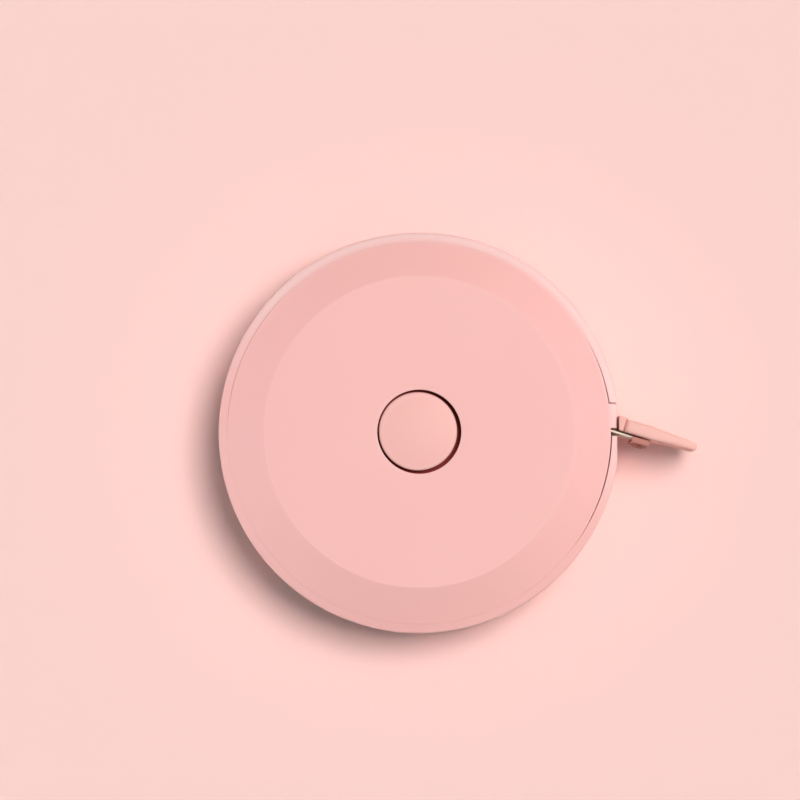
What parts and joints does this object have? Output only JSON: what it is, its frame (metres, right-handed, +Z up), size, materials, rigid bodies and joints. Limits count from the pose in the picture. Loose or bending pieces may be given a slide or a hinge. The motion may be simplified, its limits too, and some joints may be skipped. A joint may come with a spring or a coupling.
{
  "type": "tape measure",
  "caption": "Round pocket tape measure: a soft tape on a spring-return reel in a two-part plastic case, with a push button that frees the brake and a pull tab at the mouth.",
  "frame": {"origin": "centre of the flat resting face under the case, on the axis of the reel", "axes": "+Z up along the reel axis towards the button, +X from the axis towards the mouth and the pull tab"},
  "size_m": [0.0621, 0.052, 0.0139],
  "materials": {
    "case_pink": "satin moulded plastic",
    "button_pink": "satin moulded plastic",
    "tab_pink": "satin moulded plastic",
    "clamp_rose": "satin moulded plastic",
    "tape_cloth": "coated woven tape",
    "reel_white": "natural moulded plastic",
    "spring_steel": "bright spring steel",
    "brake_rubber": "matt rubber"
  },
  "bodies": {
    "case": {"bottom_shell": "case_pink", "top_shell": "case_pink"},
    "button": {"button": "button_pink", "brake_disc": "reel_white", "brake_ring": "brake_rubber", "button_spring": "spring_steel"},
    "reel": {"reel_drum": "reel_white", "reel_cover": "reel_white", "spring_lid": "reel_white", "mainspring": "spring_steel", "tape_winding": "tape_cloth", "tape_key": "reel_white"},
    "tape": {"pull_tab": "tab_pink", "tab_clamp": "clamp_rose", "tab_rivet_upper": "clamp_rose", "tab_rivet_lower": "clamp_rose", "tape_lead": "tape_cloth"}
  },
  "joints": [
    {"name": "button_press", "type": "slide", "parent": "case", "child": "button", "axis": [0, 0, -1], "range_m": [0, 0.0012], "stiffness_N_per_m": 600, "springref_m": -0.002, "deforming": ["button_spring"]},
    {"name": "tape_pull", "type": "slide", "parent": "case", "child": "tape", "axis": [0.9563, -0.2924, 0], "range_m": [0, 1.5], "deforming": ["tape_lead"]},
    {"name": "reel_spin", "type": "hinge", "parent": "case", "child": "reel", "pos_m": [0, 0, 0.006], "axis": [0, 0, -1], "range_deg": [0, 5400], "deforming": ["mainspring"]}
  ],
  "couplings": [
    {"joint": "reel_spin", "follows": "tape_pull", "rad_per_m": 62.83}
  ]
}
